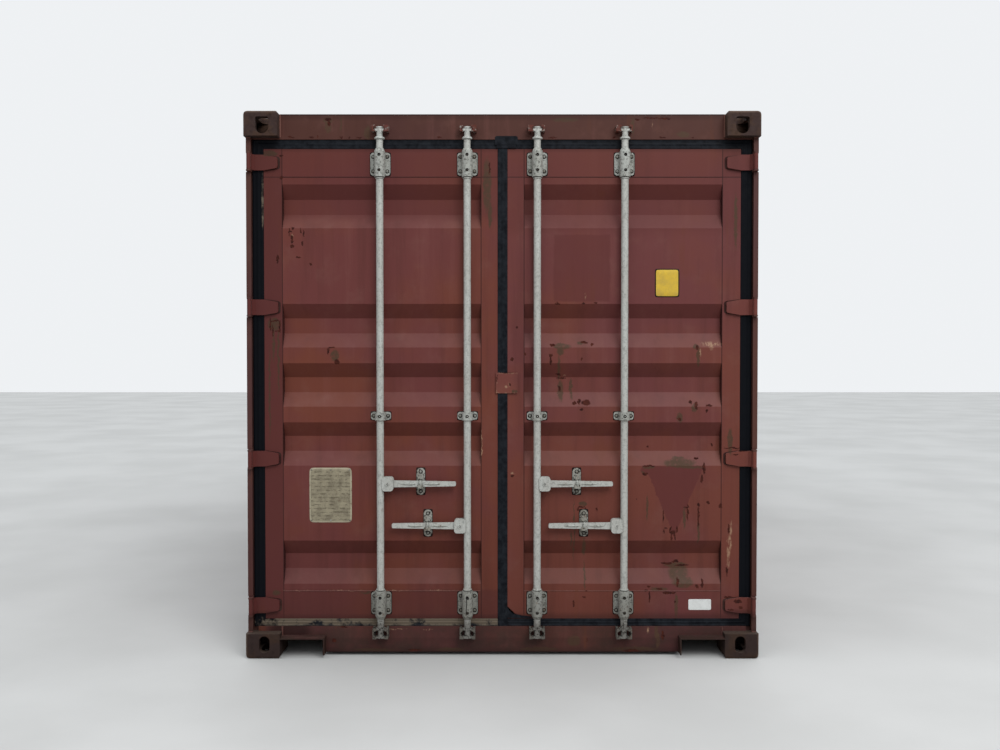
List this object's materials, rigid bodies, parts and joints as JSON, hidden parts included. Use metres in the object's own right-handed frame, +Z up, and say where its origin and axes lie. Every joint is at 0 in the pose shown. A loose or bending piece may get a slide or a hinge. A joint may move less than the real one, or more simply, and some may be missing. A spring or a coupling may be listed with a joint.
{
  "type": "shipping container",
  "caption": "Twenty-foot dry freight container in ribbed steel with two swinging doors and turning lock rods.",
  "frame": {"origin": "on the ground under the middle of the container, level with the bottom castings' undersides", "axes": "+Y from the door end to the closed end, +X to the right seen from the door end, +Z up"},
  "size_m": [2.438, 6.058, 2.591],
  "materials": {
    "container_paint": "weathered oxide red paint, chipped and rusted",
    "casting_paint": "dark worn paint over cast steel, rusted",
    "underside_coating": "dark wax coating",
    "galvanised_steel": "dull galvanised, stained",
    "gasket_rubber": "aged black rubber",
    "floor_plywood": "worn hardwood plywood",
    "ventilator_plastic": "painted over"
  },
  "bodies": {
    "frame": {"castings_door_bottom": "casting_paint", "castings_door_top": "casting_paint", "castings_end_bottom": "casting_paint", "castings_end_top": "casting_paint", "door_post_left": "container_paint", "door_post_right": "container_paint", "end_posts": "container_paint", "door_header": "container_paint", "door_sill": "container_paint", "sill_guards": "container_paint", "end_top_rail": "container_paint", "end_bottom_rail": "container_paint", "top_side_rails": "container_paint", "bottom_side_rails": "container_paint", "side_wall_left": "container_paint", "side_wall_right": "container_paint", "end_wall": "container_paint", "roof_panel": "container_paint", "roof_corner_plates": "container_paint", "floor_boards": "floor_plywood", "cross_members": "underside_coating", "fork_pockets": "container_paint", "cam_keepers": "container_paint", "hinge_lugs": "container_paint", "ventilators": "ventilator_plastic"},
    "left_leaf": {"left_door_stiles": "container_paint", "left_door_rails": "container_paint", "left_door_panel": "container_paint", "left_door_gasket": "gasket_rubber", "left_hinge_blades": "container_paint", "left_rod_brackets": "galvanised_steel", "left_handle_retainers": "galvanised_steel"},
    "right_leaf": {"right_door_stiles": "container_paint", "right_door_rails": "container_paint", "right_door_panel": "container_paint", "right_door_gasket": "gasket_rubber", "right_hinge_blades": "container_paint", "right_rod_brackets": "galvanised_steel", "right_handle_retainers": "galvanised_steel", "centre_lock_plate": "container_paint"},
    "rod_left_outer": {"lock_rod_left_outer": "galvanised_steel"},
    "handle_left_outer": {"handle_left_outer": "galvanised_steel"},
    "rod_left_inner": {"lock_rod_left_inner": "galvanised_steel"},
    "handle_left_inner": {"handle_left_inner": "galvanised_steel"},
    "rod_right_inner": {"lock_rod_right_inner": "galvanised_steel"},
    "handle_right_inner": {"handle_right_inner": "galvanised_steel"},
    "rod_right_outer": {"lock_rod_right_outer": "galvanised_steel"},
    "handle_right_outer": {"handle_right_outer": "galvanised_steel"}
  },
  "joints": [
    {"name": "right_door_swing", "type": "hinge", "parent": "frame", "child": "right_leaf", "pos_m": [1.196, -3.015, 1.3], "axis": [0, 0, 1], "range_deg": [0, 265]},
    {"name": "left_door_swing", "type": "hinge", "parent": "frame", "child": "left_leaf", "pos_m": [-1.196, -3.015, 1.3], "axis": [0, 0, -1], "range_deg": [0, 265]},
    {"name": "left_outer_rod_turn", "type": "hinge", "parent": "left_leaf", "child": "rod_left_outer", "pos_m": [-0.58, -3, 1.3], "axis": [0, 0, 1], "range_deg": [-100, 0]},
    {"name": "left_inner_rod_turn", "type": "hinge", "parent": "left_leaf", "child": "rod_left_inner", "pos_m": [-0.166, -3, 1.3], "axis": [0, 0, -1], "range_deg": [-100, 0]},
    {"name": "right_inner_rod_turn", "type": "hinge", "parent": "right_leaf", "child": "rod_right_inner", "pos_m": [0.166, -3, 1.3], "axis": [0, 0, 1], "range_deg": [-100, 0]},
    {"name": "right_outer_rod_turn", "type": "hinge", "parent": "right_leaf", "child": "rod_right_outer", "pos_m": [0.58, -3, 1.3], "axis": [0, 0, -1], "range_deg": [-100, 0]},
    {"name": "left_outer_handle_lift", "type": "hinge", "parent": "rod_left_outer", "child": "handle_left_outer", "pos_m": [-0.5445, -3, 0.83], "axis": [0, 1, 0], "range_deg": [-30, 0]},
    {"name": "left_inner_handle_lift", "type": "hinge", "parent": "rod_left_inner", "child": "handle_left_inner", "pos_m": [-0.2015, -3, 0.63], "axis": [0, -1, 0], "range_deg": [-30, 0]},
    {"name": "right_inner_handle_lift", "type": "hinge", "parent": "rod_right_inner", "child": "handle_right_inner", "pos_m": [0.2015, -3, 0.83], "axis": [0, 1, 0], "range_deg": [-30, 0]},
    {"name": "right_outer_handle_lift", "type": "hinge", "parent": "rod_right_outer", "child": "handle_right_outer", "pos_m": [0.5445, -3, 0.63], "axis": [0, -1, 0], "range_deg": [-30, 0]}
  ]
}
